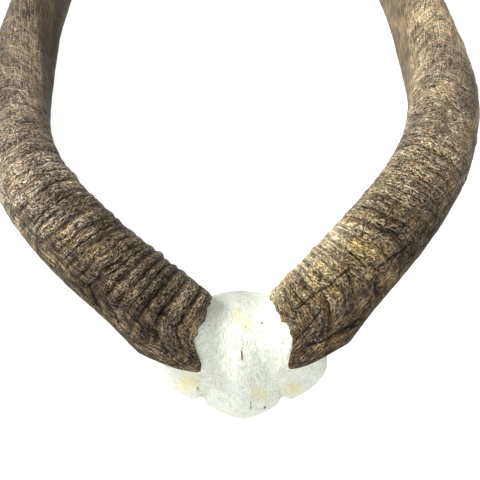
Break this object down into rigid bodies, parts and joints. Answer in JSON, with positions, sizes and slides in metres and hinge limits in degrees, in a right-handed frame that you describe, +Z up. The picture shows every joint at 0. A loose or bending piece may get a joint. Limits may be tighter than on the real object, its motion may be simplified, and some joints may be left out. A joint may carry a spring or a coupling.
{
  "type": "nyala skull cap",
  "caption": "Sawn, bleached nyala skull cap with ringed, keeled spiral horns, lying forehead up on its flat sawn face; a life-size display piece",
  "frame": {"origin": "floor level under the middle of the bounding box", "axes": "+Z up, away from the sawn face; +Y from the forehead along the horns to their tips; +X to the right in the picture"},
  "size_m": [0.2926, 0.6064, 0.1768],
  "materials": {
    "skull_bone": "matte bleached bone",
    "horn_keratin": "dry, fibrous keratin with growth rings"
  },
  "bodies": {
    "root": {"skull_cap": "skull_bone", "horn_right_base": "horn_keratin", "horn_right_middle": "horn_keratin", "horn_right_tip": "horn_keratin", "horn_left_base": "horn_keratin", "horn_left_middle": "horn_keratin", "horn_left_tip": "horn_keratin"}
  },
  "joints": []
}
